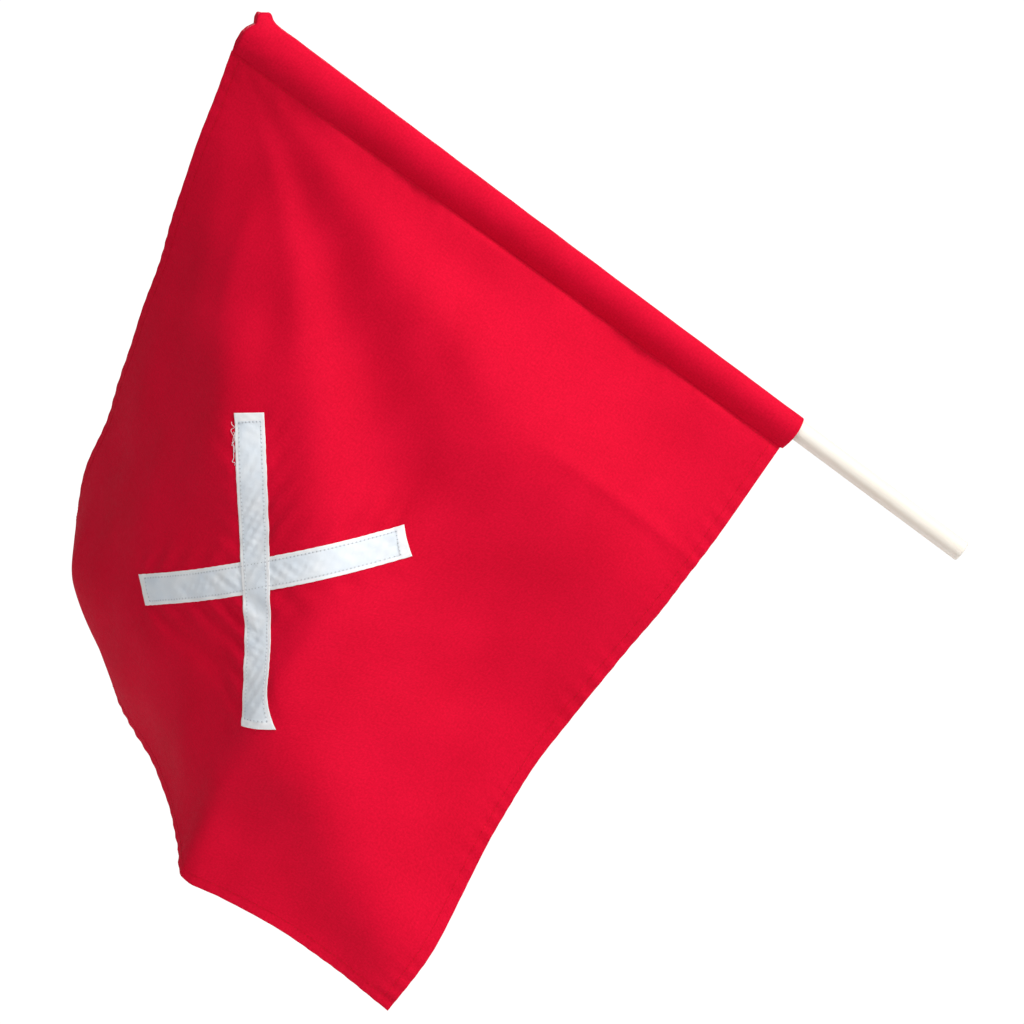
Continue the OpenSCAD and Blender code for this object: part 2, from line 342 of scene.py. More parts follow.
def ease(t):
    """A smooth step from 0 to 1: three t squared less two t cubed."""
    t = np.clip(t, 0, 1)
    return t * t * (3 - 2 * t)


def through(edge, t):
    """A cubic through an edge's points, with the slope at each taken from its neighbours."""
    q = np.array(edge, float)
    at, p = q[:, 0], q[:, 1:]
    gap = np.diff(at)[:, None]
    chord = np.diff(p, axis=0) / gap
    inner = (chord[1:] * gap[:-1] + chord[:-1] * gap[1:]) / (gap[1:] + gap[:-1])
    slope = np.vstack([chord[:1], inner, chord[-1:]])
    k = np.clip(np.searchsorted(at, t, side="left") - 1, 0, len(at) - 2)
    h = gap[k]
    x = (t - at[k])[..., None] / h
    return (
        (2 * x**3 - 3 * x**2 + 1) * p[k]
        + (x**3 - 2 * x**2 + x) * h * slope[k]
        + (3 * x**2 - 2 * x**3) * p[k + 1]
        + (x**3 - x**2) * h * slope[k + 1]
    )


def drape(a, d):
    """The hanging cloth in broad shape, from a, the distance from the tip side, and d, from the
    seam: a patch blended between the four edges, plus a fan of folds from the tip corner (a cosine
    of the angle), the soft folds, a hump by the free edge, and a swelling of the middle."""
    u, v = a / HOIST, d / FLY
    U, V = u[..., None], v[..., None]
    seam = np.stack([a, 0 * a, 0 * a], -1)
    corner = np.array(HANDLE_EDGE[0][1:], float)
    low_tip, low_handle = (np.array(FLY_EDGE[k][1:], float) for k in (0, -1))
    p = (1 - V) * seam + V * through(FLY_EDGE, u)
    p += (1 - U) * through(TIP_EDGE, v) + U * through(HANDLE_EDGE, v)
    p -= U * (1 - V) * corner + (1 - U) * V * low_tip + U * V * low_handle
    inside = 16 * u * (1 - u) * v * (1 - v)
    angle = np.degrees(np.arctan2(d, a + 1e-9))
    wave = -np.cos(np.pi * (angle - FOLD_ANGLE) / FOLD_ANGLE)
    wave = wave * np.exp(-(((angle - FAN_MIDDLE) / FAN_SPREAD) ** 4))
    grown = np.clip(inside, 0, 1) ** 0.7 * np.minimum(1, np.hypot(a, d) / FAN_REACH)
    fold = FAN_HEIGHT * wave * grown - raised(a, d, SWELLS)
    off = [(share - at) / far for share, at, far in zip((u, v), HUMP_AT, HUMP_SPREAD)]
    hump = HUMP_HEIGHT * np.exp(-(off[0] ** 2) - off[1] ** 2) * np.sqrt(np.clip(u / 0.1, 0, 1))
    s, t = 2 * u - 1, 2 * v - 1
    bends = np.stack([1 + 0 * s, s, t, s * s, s * t, t * t], -1)
    belly = bends @ np.array(BELLY, float).T
    p += inside[..., None] * belly + hump[..., None] * np.array(HUMP_WAY)
    drop = SEAM_DROP_TIP + (SEAM_DROP_MOUTH - SEAM_DROP_TIP) * u
    return np.stack([SLEEVE_END_X + p[..., 0], p[..., 1] + fold, -drop - p[..., 2]], -1)


def facing(surface, a, d):
    """Unit direction out of the flag's face: the cross product of the surface's two slopes."""
    across = surface(np.minimum(a + FEEL, HOIST), d) - surface(np.maximum(a - FEEL, 0), d)
    down = surface(a, np.minimum(d + FEEL, FLY)) - surface(a, np.maximum(d - FEEL, 0))
    n = np.cross(down, across)
    return n / np.linalg.norm(n, axis=-1, keepdims=True)


def wobble(t, length, phase):
    """An uneven wave: a sine whose pace and height both drift, as puckers along a seam do."""
    pace = t / length + 0.35 * np.sin(t / (2.3 * length) + phase)
    swing = 0.65 + 0.35 * np.sin(t / (1.7 * length) + 2.1 * phase)
    return np.sin(2 * np.pi * pace + phase) * swing


def tape_reach(a, d, turn):
    """How far along and across a strip of the cross a place on the cloth is."""
    along, down = a - CROSS_ALONG, d - CROSS_DOWN
    return (turn * along + down) / 2**0.5, (along - turn * down) / 2**0.5


def ruffle(a, d):
    """Small relief out of the face: puckers along the hems, the seam and the tape, a dip under each
    hem's stitches, creases, and slow unevenness."""
    height = 0 * a
    for (edge, run), (amount, phase) in zip([(a, d), (HOIST - a, d), (FLY - d, a)], HEM_PUCKERS):
        near = np.exp(-((edge / PUCKER_REACH) ** 2))
        height += amount * near * wobble(run, PUCKER_LENGTH, phase)
        height -= STITCH_DIP * np.exp(-(((edge - HEM_ROW) / 0.9) ** 2))
    height += SEAM_PUCKER * np.exp(-(((d - 9) / 9) ** 2)) * wobble(a, 17, 0.8)
    for direction, length, amount, phase in SOFT_WAVES:
        r = np.radians(direction)
        height += amount * np.sin(2 * np.pi * (a * np.cos(r) + d * np.sin(r)) / length + phase)
    height += raised(a, d, CREASES)
    for turn, phase in ((1, 0.0), (-1, 2.2)):
        run, off = tape_reach(a, d, turn)
        out = np.abs(off) - TAPE_WIDTH / 2
        near = ease((TAPE_LENGTH / 2 + 8 - np.abs(run)) / 16)
        beside = np.exp(-(((out - 5) / TAPE_PUCKER_REACH) ** 2)) * (out > -TAPE_WIDTH)
        pucker = wobble(run + 0.8 * out, TAPE_PUCKER_LENGTH, phase + (off > 0))
        height += TAPE_PUCKER * near * beside * pucker
        under = near * ease(1.5 - out / 4)
        height = height * (1 - TAPE_FLATTENS * under)
    return height * ease(d / 7)


def raised(a, d, lines):
    """Each line is a ridge, a bell of the distance across to it, that fades in over the first
    third of its length and out over the last."""
    height = 0 * a
    for a0, d0, a1, d1, width, rise in lines:
        length = np.hypot(a1 - a0, d1 - d0)
        along = ((a - a0) * (a1 - a0) + (d - d0) * (d1 - d0)) / length**2
        off = ((a - a0) * (d1 - d0) - (d - d0) * (a1 - a0)) / length
        bow = 4 * np.sin(np.pi * np.clip(along, 0, 1)) * np.sign(rise)
        ridge = np.exp(-(((off + bow) / width) ** 2))
        height += rise * ridge * ease(along * 3) * ease((1.0 - along) * 3)
    return height


def cloth(a, d):
    """The middle of the cloth: the broad shape moved out of its face by the small relief."""
    return drape(a, d) + ruffle(a, d)[..., None] * facing(drape, a, d)


def on_cloth(a, d, height):
    """A place at a height above the middle of the cloth, and the direction out of its face."""
    n = facing(cloth, a, d)
    return cloth(a, d) + np.asarray(height)[..., None] * n, n


def shell(front, back):
    """The closed skin of a sheet: the front grid, the back grid, and faces round the border."""
    n, m = front.shape[:2]
    k = np.arange(n * m).reshape(n, m)
    border = np.concatenate([k[:-1, 0], k[-1, :-1], k[:0:-1, -1], k[0, :0:-1]])
    after = np.roll(border, -1)
    rim = np.stack([border, after, after + n * m, border + n * m], -1)
    top = grid_quads(n, m)
    quads = np.vstack([top, top[:, ::-1] + n * m, rim])
    return np.concatenate([front.reshape(-1, 3), back.reshape(-1, 3)]), quads


def fine_edges(length, cells, first, last):
    """Places along a side: close together over the given edge steps, and even in between."""
    even = np.linspace(first[-1], length - last[-1], cells)
    return np.concatenate([first, even[1:-1], length - np.array(last)[::-1]])


def flag_panel():
    """The flag's skin: both faces follow the middle of the cloth, half a thickness away, and the
    back one stands off by two more layers over the hems. The border is rounded over."""
    hem_steps = [0, 0.4, 1.2, 3.2, 5.2, 7, 8, 9, 9.8, 10.4, 11.6, 13.6]
    seam_steps = [0, 0.6, 1.8, 3.4, 6]
    a = fine_edges(HOIST, PANEL_CELLS, hem_steps, hem_steps)
    d = fine_edges(FLY, PANEL_CELLS + 8, seam_steps, hem_steps)
    A, D = np.meshgrid(a, d, indexing="ij")
    edge = np.minimum(np.minimum(A, HOIST - A), FLY - D)
    hem = HEM_EXTRA * ease((HEM_WIDTH + 0.5 - edge) / 1.0) * ease(D / 4)
    rounded = 0.35 + 0.65 * np.sqrt(ease(edge / 1.2))
    front, n = on_cloth(A, D, HALF_CLOTH * rounded)
    back = front - (2 * HALF_CLOTH + hem)[..., None] * rounded[..., None] * n
    points, quads = shell(front, back)
    flat = MM * np.tile(np.stack([A, D, 0 * A], -1).reshape(-1, 3), (2, 1))
    return add_mesh("flag_cloth", points, quads, cloth_place=flat)


def make_weave():
    """Plain weave: warp and weft are rounded ridges, the size of a thread apart, and a chequer of
    their two sines says which of the two lies on top."""
    tree, given, result = new_group(
        "plain_weave",
        [("Place", "Vector"), ("Pitch", "Float")],
        [("Height", "Float")],
    )
    parts = add_node(tree, "SeparateXYZ", {0: given["Place"]})
    sines = []
    for axis in ("X", "Y"):
        turns = math_node(tree, "DIVIDE", parts.outputs[axis], given["Pitch"])
        sines.append(math_node(tree, "SINE", math_node(tree, "MULTIPLY", turns, np.pi)))
    over = math_node(tree, "MULTIPLY", sines[0], sines[1])
    ridges = []
    for sine, swing in zip(sines, (0.5, -0.5)):
        on_top = math_node(tree, "MULTIPLY_ADD", over, swing, 0.5)
        ridges.append(math_node(tree, "MULTIPLY", math_node(tree, "ABSOLUTE", sine), on_top))
    warp_up, weft_up = ridges
    tree.links.new(math_node(tree, "MAXIMUM", warp_up, weft_up), result["Height"])
    return tree


WEAVE = make_weave()


def make_holes():
    """Needle holes along a row: how near a place is to the nearest hole, from its distance to the
    row and its distance along it, less whole pitches."""
    tree, given, result = new_group(
        "needle_holes",
        [("Along", "Float"), ("Across", "Float"), ("Pitch", "Float"), ("Radius", "Float")],
        [("Hole", "Float")],
    )
    share = math_node(tree, "DIVIDE", given["Along"], given["Pitch"])
    nearest = math_node(tree, "SUBTRACT", share, math_node(tree, "ROUND", share))
    along = math_node(tree, "MULTIPLY", nearest, given["Pitch"])
    square = math_node(tree, "MULTIPLY", given["Across"], given["Across"])
    far = math_node(tree, "SQRT", math_node(tree, "MULTIPLY_ADD", along, along, square))
    near = add_node(
        tree,
        "MapRange",
        {"Value": far, "From Min": given["Radius"], "From Max": 0.0},
        interpolation_type="SMOOTHSTEP",
    )
    tree.links.new(near.outputs[0], result["Hole"])
    return tree


HOLES = make_holes()


def holes(tree, along, across, radius):
    """Places the needle holes group for one row and gives its mask."""
    inputs = {"Along": along, "Across": across, "Pitch": STITCH_PITCH * MM, "Radius": radius}
    return add_node(tree, "Group", inputs, node_tree=HOLES).outputs[0]


def red_cloth_finish():
    """Close-woven red cloth: a fine weave, uneven yarn that shows as faint lines both ways, soft
    patches of colour, needle holes along the hems with painted shade in them, and a low sheen."""
    made, tree, shader, place = new_material(
        "red_flag_cloth",
        "cloth_place",
        **{"Specular_IOR_Level": 0.05, "Sheen_Weight": 0.05, "Sheen_Roughness": 0.5,
           "Sheen_Tint": (1.0, 0.08, 0.25, 1.0)},
    )
    weave = add_node(tree, "Group", {"Place": place, "Pitch": 0.00042}, node_tree=WEAVE)
    yarns = []
    for stretch in ((90.0, 2400.0, 1.0), (2400.0, 90.0, 1.0)):
        lines = add_node(tree, "Mapping", {"Vector": place, "Scale": stretch})
        yarns.append(mottle(tree, lines.outputs[0], 1.0, 0.0, 1.0))
    yarn = math_node(tree, "MULTIPLY", math_node(tree, "ADD", yarns[0], yarns[1]), 0.5)
    patches = mottle(tree, place, 18.0, 0.0, 1.0)
    flecks = mottle(tree, place, 620.0, 0.0, 0.5)
    soft = math_node(tree, "MULTIPLY_ADD", patches, 0.25, flecks)
    tone = math_node(tree, "MULTIPLY_ADD", yarn, 0.4, soft)
    colour = mix_colours(tree, tone, DEEP_RED, BRIGHT_RED)
    parts = add_node(tree, "SeparateXYZ", {0: place})
    a, d = parts.outputs["X"], parts.outputs["Y"]
    rows = [
        (d, math_node(tree, "SUBTRACT", a, HEM_ROW * MM)),
        (d, math_node(tree, "SUBTRACT", a, (HOIST - HEM_ROW) * MM)),
        (a, math_node(tree, "SUBTRACT", d, (FLY - HEM_ROW) * MM)),
        (a, math_node(tree, "SUBTRACT", d, SEAM_ROW * MM)),
    ]
    hole = holes(tree, *rows[0], CLOTH_HOLE_RADIUS)
    for along, across in rows[1:]:
        hole = math_node(tree, "MAXIMUM", hole, holes(tree, along, across, CLOTH_HOLE_RADIUS))
    # The needle holes are darkened a little towards that deep red: painted shade in the holes
    hole_shaded = mix_colours(tree, math_node(tree, "MULTIPLY", hole, 0.3), colour, RED_SHADE_IN_HOLES)
    tree.links.new(hole_shaded, shader.inputs["Base Color"])
    tree.links.new(mottle(tree, place, 240.0, 0.48, 0.62), shader.inputs["Roughness"])
    relief = math_node(tree, "MULTIPLY_ADD", yarn, 0.7, weave.outputs["Height"])
    set_bump(tree, shader, math_node(tree, "SUBTRACT", relief, hole), 0.0001)
    return made


red_cloth = red_cloth_finish()
panel = flag_panel()
panel.data.materials.append(red_cloth)
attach(panel, "flag")
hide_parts("flag_panel", "tip_side_hem", "handle_side_hem", "fly_hem")


# ---- pole sleeve ----
# The same cloth, carried on up over the pole and down its back, where its raw edge is turned
# under and sewn through. The tip end is pinched flat, and a small ear of spare cloth stands up.

WRAP_RADIUS = 9.1
TUCK = 1.2
REAR_OFF = 0.85
SLEEVE_SLACK = 1.7
ALLOWANCE = 10.0
WRAP_CELLS = 128
MOUTH_X = SLEEVE_END_X + HOIST
MOUTH_BOW = 2.4
MOUTH_REACH = 1.2
PINCH_LENGTH = 13.0
PINCH_FLATTENS = 0.9
EAR_X = SLEEVE_END_X + 5.5
EAR_RISE = 3.6
EAR_FALL = 1.8

# The cloth's slope at the seam and where it meets the pole, in degrees up from straight forward
FRONT_LEAN = [-47.0, 15.0]

# Ripples, as [height, slant, wavelength, phase], and the gathers by the closed end
RIPPLES = [[0.2, 0.8, 31, 0.4], [0.14, -1.3, 53, 2.0]]
GATHER_HEIGHT = 1.5
GATHER_REACH = 45.0

# The closed end's outline as [height across the pole, distance past the sleeve's end]
END_OUTLINE = [
    [-34, -1.5], [-24, -0.4], [-17, 1.8], [-9, 2.6], [-4, 1.6], [1.5, -1.2], [6, 1.5], [9.5, 2.0],
    [13.5, -2.0]
]


def wrap_profile(drop, count):
    """The sleeve's cross-section as a line of even steps: a full bend (a cubic with its slope set
    at both ends) up the front from the seam, round the circle over the pole, and straight down the
    back to the seam. Gives the place across the pole; s, the distance sewn, which starts with the
    tuck and goes on over the allowance; and how far into those two each place lies."""
    start, touch = np.radians(FRONT_LEAN)
    low = np.array([0.0, -drop])
    meet = WRAP_RADIUS * np.array([-np.cos(touch), np.sin(touch)])
    reach = 0.36 * np.linalg.norm(meet - low)
    first = low + reach * np.array([np.sin(start), np.cos(start)])
    second = meet - reach * np.array([np.sin(touch), np.cos(touch)])
    t = np.linspace(0, 1, 40)[:, None]
    bend = (1 - t) ** 3 * low + 3 * t * (1 - t) ** 2 * first + 3 * t**2 * (1 - t) * second
    bend = bend + t**3 * meet
    leave = 1.5 * np.pi - np.arccos(WRAP_RADIUS / drop)
    turn = np.linspace(touch, leave, 60)[1:, None]
    over = WRAP_RADIUS * np.hstack([-np.cos(turn), np.sin(turn)])
    line = np.vstack([bend, over, [[REAR_OFF, -drop]]])
    at = np.concatenate([[0], np.cumsum(np.linalg.norm(np.diff(line, axis=0), axis=1))]) + TUCK
    s = np.linspace(0, at[-1] + ALLOWANCE, count)
    y, z = (np.interp(s, at, line[:, k]) for k in (0, 1))
    return y, z, s, np.clip(TUCK - s, 0, None), np.clip(s - at[-1], 0, None)


def sleeve_middle(stations, count):
    """The sleeve's cloth as a grid: the cross-section at each station along the pole, squeezed
    flat beyond the pole's tip, with an ear raised there. The first steps tuck in behind the top of
    the flag, and the allowance lies along the flag's back."""
    share = (stations - SLEEVE_END_X) / HOIST
    rows = [
        wrap_profile(SEAM_DROP_TIP + (SEAM_DROP_MOUTH - SEAM_DROP_TIP) * t, count)
        for t in np.clip(share, 0, 1)
    ]
    y, z, s, before, after = (np.array([row[k] for row in rows]) for k in range(5))
    x = np.repeat(stations[:, None], count, 1)
    pinch = ease((TIP_X - 0.2 - x) / 3.7)
    top = ease((z + 6) / 15)
    ripple = sum(h * wobble(x + slant * s, length, phase) for h, slant, length, phase in RIPPLES)
    near_tip = np.exp(-(((x - SLEEVE_END_X) / GATHER_REACH) ** 2))
    ripple = ripple + GATHER_HEIGHT * near_tip * wobble(0.5 * x - 0.8 * s, 17, 1.1)
    free = ease((z + 20) / 8) * (1 - pinch)
    y = y * (1 - PINCH_FLATTENS * pinch) + ripple * free * np.sign(y) * 0.5
    ear = EAR_RISE * np.exp(-(((x - EAR_X) / 5.5) ** 2)) - EAR_FALL * ease((EAR_X - 1.5 - x) / 4)
    slack = SLEEVE_SLACK * np.clip(1 - share, 0, 1)[:, None] ** 1.5
    z = z + (ear + slack) * top + ripple * free * top * 0.4
    outline = np.array(END_OUTLINE)
    beyond = np.interp(z, outline[:, 0], outline[:, 1])
    x = x - beyond * ease((SLEEVE_END_X + PINCH_LENGTH - x) / PINCH_LENGTH)
    bow = np.clip(MOUTH_BOW * (1 - ((z + 5) / 15) ** 2), -2, None)
    x = x + (bow + MOUTH_REACH) * ease(1 - (MOUTH_X - x) / 25)
    wrap = np.stack([x, y, z], -1)
    along = np.repeat((0.5 + share * (HOIST - 1))[:, None], count, 1)
    tucked = on_cloth(along, before, -0.5 * ease(before / TUCK))[0]
    behind = on_cloth(along, after, 0 * after - REAR_OFF)[0]
    wrap = np.where((before > 0)[..., None], tucked, wrap)
    return np.where((after > 0)[..., None], behind, wrap), s


def grid_normals(grid):
    """Unit normals of a grid of points, from the cross product of its two differences."""
    n = np.cross(np.gradient(grid, axis=0), np.gradient(grid, axis=1))
    return n / np.linalg.norm(n, axis=-1, keepdims=True)


def pole_sleeve():
    """The sleeve's skin: its cloth's middle moved half a thickness each way, thicker along the
    turned-under edge, with the mouth's edge rolled in a little."""
    near_end = np.array([0, 0.5, 1.2, 2, 3, 4, 5, 6, 7, 8, 9, 10, 11, 12, 13, 14.5, 16])
    near_mouth = np.array([0, 0.25, 0.6, 1.2, 2.2, 4, 6])
    stations = SLEEVE_END_X + fine_edges(HOIST, 230, near_end, near_mouth)
    middle, s = sleeve_middle(stations, WRAP_CELLS)
    n = grid_normals(middle)
    outward = np.sign((n[..., 2] * (middle[..., 2] + 8)).sum())
    n = n * outward
    turned = ease((s - s[:, -1:] + ALLOWANCE) / 1.5)
    half = HALF_CLOTH * (1 + 0.9 * turned)
    roll = ease(1 - (MOUTH_X - stations) / 1.2)[:, None]
    outer = middle + (half * (1 - 0.9 * roll))[..., None] * n
    inner = middle - half[..., None] * n
    points, quads = shell(outer, inner)
    along = np.repeat((stations - SLEEVE_END_X)[:, None], s.shape[1], 1)
    flat = MM * np.tile(np.stack([along, -s, 0 * s], -1).reshape(-1, 3), (2, 1))
    return add_mesh("pole_sleeve_cloth", points, quads, cloth_place=flat)


sleeve = pole_sleeve()
sleeve.data.materials.append(red_cloth)
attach(sleeve, "flag")
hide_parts("pole_sleeve", "sleeve_end_tuck", "sleeve_seam_allowance")


# ---- sleeve mouth band ----
# The cloth turned inside the sleeve's mouth. It's a loose ring on the pole, and its folded edge
# shows as a second lip just inside the sleeve's.

BAND_WIDTH = 14.0
BAND_MIDDLE = 8.5
BAND_SIDES = 96


def mouth_band():
    """A ring: a long thin loop swept round the pole's axis. The loop is a cosine by a sine, both
    raised to a power below one, so that its faces are flat and its two lips are round."""
    t = np.linspace(0, 2 * np.pi, 44, endpoint=False)
    bow = np.sign(np.cos(t)) * np.abs(np.cos(t)) ** 0.35
    lip = np.sign(np.sin(t)) * np.abs(np.sin(t)) ** 0.8
    x = MOUTH_X - BAND_WIDTH / 2 - 0.4 + bow * BAND_WIDTH / 2
    angle = np.linspace(0, 2 * np.pi, BAND_SIDES, endpoint=False)[:, None]
    uneven = 0.06 * np.sin(3 * angle + 1) + 0.04 * np.sin(7 * angle)
    r = BAND_MIDDLE + uneven + 0.18 * lip
    points = np.stack([x + 0 * angle, r * np.sin(angle), -r * np.cos(angle)], -1)
    quads = grid_quads(BAND_SIDES, len(t), wrap_rows=True, wrap_cols=True)
    flat = np.stack([x + 0 * angle, BAND_MIDDLE * angle + 0 * x, 0 * r], -1) * MM
    return add_mesh("sleeve_mouth_band", points, quads, cloth_place=flat)


band = mouth_band()
band.data.materials.append(red_cloth)
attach(band, "sleeve")
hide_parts("sleeve_mouth_hem")


# ---- reflective strips ----
# Two lengths of silver-white reflective sewing tape, 25.4 mm wide, with their cut ends turned
# under. The one down the flag lies over the one across it, and both are stitched all round.

TAPE_HALF = 0.17
TAPE_INSET = 3.4
TURNED_END = 7.0
CLIMB_REACH = 17.0
TAPE_PUFF = 0.28
TAPE_LIFT = 2 * TAPE_HALF + 0.1
END_INSET = 6.4
HOLE_RADIUS = 0.00088
ROW_REACH = 0.0008
TURNED_RISE = 0.32
LIP_RISE = 0.12
# The tape's grey, and the brighter silver that its cloudy patches reach: painted soft reflection
TAPE_GREY = (0.80, 0.88, 0.96, 1.0)
TAPE_REFLECTION_PATCH = (0.92, 0.96, 0.99, 1.0)
TAPE_BORDER = (0.96, 0.97, 0.98, 1.0)
# The grey painted into the tape's needle holes as the shade inside them
TAPE_SHADE_IN_HOLES = (0.16, 0.18, 0.21, 1.0)

# Grid steps in from an edge, close together where the tape bends over and dips to its stitches
SIDE_STEPS = [0, 0.15, 0.5, 1.2, 2.4, 3.4, 4.4]
END_STEPS = [0, 0.2, 0.5, 1.2, 2.4, 3.4, 4.4, 6, 7.2]

# How far each end's cut leans, for the strip down the flag (1) and the one across it (-1)
TAPE_ASKEW = {1: (2.0, 4.5), -1: (-1.5, -4.5)}


def tape_place(run, off, turn):
    """The place on the cloth of a point along and across a strip, whose ends are cut askew."""
    askew = TAPE_ASKEW[turn][0] * (run < 0) + TAPE_ASKEW[turn][1] * (run > 0)
    run = run + askew * off / (TAPE_WIDTH / 2) * ease(1 - (TAPE_LENGTH / 2 - np.abs(run)) / 30)
    a = CROSS_ALONG + (run * turn + off) / 2**0.5
    return a, CROSS_DOWN + (run - off * turn) / 2**0.5


def tape_height(run, off, over):
    """How high a strip's top stands above the middle of the cloth: its thickness, twice that where
    the end is turned under, a soft crown between the stitch rows, and the climb at the crossing."""
    turned = ease((np.abs(run) - (TAPE_LENGTH / 2 - TURNED_END)) / 1.2)
    crown = 1 - (off / (TAPE_WIDTH / 2 - TAPE_INSET)) ** 2
    lip = np.clip(-crown, 0, 1)
    puff = TAPE_PUFF * np.clip(crown, 0, 1) ** 0.5 * ease((TAPE_LENGTH / 2 - np.abs(run)) / 9)
    crinkle = 0.22 * wobble(run + 1.1 * off, 13, 0.6 + over) + 0.12 * wobble(run - 0.6 * off, 7.5, 2)
    puff = puff * (1 + 0.9 * crinkle) + crinkle * np.clip(crown, 0, 1)
    height = HALF_CLOTH + TAPE_LIFT + puff + TURNED_RISE * turned + LIP_RISE * lip
    if over:
        height = height + (TAPE_LIFT + TAPE_PUFF) * np.exp(-((run / CLIMB_REACH) ** 6))
    return height


def tape_strip(name, turn, over):
    """A strip's skin: a grid along and across it, raised by the strip's height, with its edges
    rounded over and its underside just above the cloth."""
    run = fine_edges(TAPE_LENGTH, 150, END_STEPS, END_STEPS) - TAPE_LENGTH / 2
    off = fine_edges(TAPE_WIDTH, 18, SIDE_STEPS, SIDE_STEPS) - TAPE_WIDTH / 2
    R, F = np.meshgrid(run, off, indexing="ij")
    fray = 0.12 * wobble(R, 7, turn) * (np.abs(F) > TAPE_WIDTH / 2 - 0.3)
    a, d = tape_place(R, F + fray, turn)
    top = tape_height(R, F, over)
    edge = np.minimum(TAPE_LENGTH / 2 - np.abs(R), TAPE_WIDTH / 2 - np.abs(F))
    rounded = 1 - 0.55 * (1 - ease(edge / 0.6))
    thick = 2 * TAPE_HALF * (1 + ease((np.abs(R) - TAPE_LENGTH / 2 + TURNED_END) / 1.2)) * rounded
    upper, n = on_cloth(a, d, top - 2 * TAPE_HALF * (1 - rounded))
    points, quads = shell(upper, upper - thick[..., None] * n)
    flat = MM * np.tile(np.stack([R, F, 0 * R], -1).reshape(-1, 3), (2, 1))
    return add_mesh(name, points, quads, tape_place=flat)


def tape_finish():
    """Silver-white reflective fabric: a very fine beaded grain, faint cloudy patches of painted
    reflection, small creases across it, and needle holes in a row just inside every edge, with
    painted grey shade in them."""
    made, tree, shader, place = new_material(
        "silver_reflective_tape",
        "tape_place",
        **{"Specular_IOR_Level": 0.55, "Sheen_Weight": 0.1, "Sheen_Roughness": 0.3},
    )
    weave = add_node(tree, "Group", {"Place": place, "Pitch": 0.00034}, node_tree=WEAVE)
    beads = mottle(tree, place, 5200.0, 0.0, 1.0)
    # Cloudy patches between the grey and the silver: painted soft reflection
    reflection_patches = mottle(tree, place, 46.0, 0.0, 1.0)
    colour = mix_colours(tree, reflection_patches, TAPE_GREY, TAPE_REFLECTION_PATCH)
    parts = add_node(tree, "SeparateXYZ", {0: place})
    run, off = parts.outputs["X"], parts.outputs["Y"]
    side_row, end_row = (TAPE_WIDTH / 2 - TAPE_INSET) * MM, (TAPE_LENGTH / 2 - END_INSET) * MM
    from_side = math_node(tree, "SUBTRACT", math_node(tree, "ABSOLUTE", off), side_row)
    from_end = math_node(tree, "SUBTRACT", math_node(tree, "ABSOLUTE", run), end_row)
    from_cross = math_node(tree, "SUBTRACT", math_node(tree, "ABSOLUTE", run), side_row)
    hole = holes(tree, off, from_cross, 0.8 * HOLE_RADIUS)
    for along, across, limit in ((run, from_side, from_end), (off, from_end, from_side)):
        row = holes(tree, along, across, HOLE_RADIUS)
        row = math_node(tree, "MULTIPLY", row, math_node(tree, "LESS_THAN", limit, ROW_REACH))
        hole = math_node(tree, "MAXIMUM", hole, row)
    outside = math_node(tree, "MAXIMUM", from_side, from_end)
    border = add_node(
        tree, "MapRange", {"Value": outside, "From Min": 0.0003, "From Max": 0.0012}
    )
    edged = mix_colours(tree, border.outputs[0], colour, TAPE_BORDER)
    # The needle holes are darkened towards that grey: painted shade in the holes
    hole_shaded = mix_colours(tree, math_node(tree, "MULTIPLY", hole, 0.7), edged, TAPE_SHADE_IN_HOLES)
    tree.links.new(hole_shaded, shader.inputs["Base Color"])
    tree.links.new(mottle(tree, place, 160.0, 0.34, 0.5), shader.inputs["Roughness"])
    relief = math_node(tree, "MULTIPLY_ADD", beads, 0.5, weave.outputs["Height"])
    relief = math_node(tree, "MULTIPLY_ADD", mottle(tree, place, 110.0, 0.0, 1.0), 6.0, relief)
    relief = math_node(tree, "MULTIPLY_ADD", hole, -5.0, relief)
    set_bump(tree, shader, relief, 0.00003)
    return made


silver_tape = tape_finish()
strips = {
    "reflective_strip_over": tape_strip("reflective_tape_over", 1, True),
    "reflective_strip_under": tape_strip("reflective_tape_under", -1, False),
}
for cad_name, strip in strips.items():
    strip.data.materials.append(silver_tape)
    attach(strip, "flag")
    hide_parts(cad_name)


# ---- sewing threads ----
# Every line of lockstitch, as single stitches that rise out of one needle hole and dive into the
# next, on both sides of the cloth. Red thread on the hems and the sleeve, white on the tape.

STITCH_LENGTH = 2.5
STITCH_SIDES = 6
STITCH_RADIUS = 0.2
RED_YARN = [(0.50, 0.0016, 0.012, 1.0), (0.80, 0.004, 0.028, 1.0)]
WHITE_YARN = [(0.66, 0.69, 0.73, 1.0), (0.86, 0.87, 0.88, 1.0)]


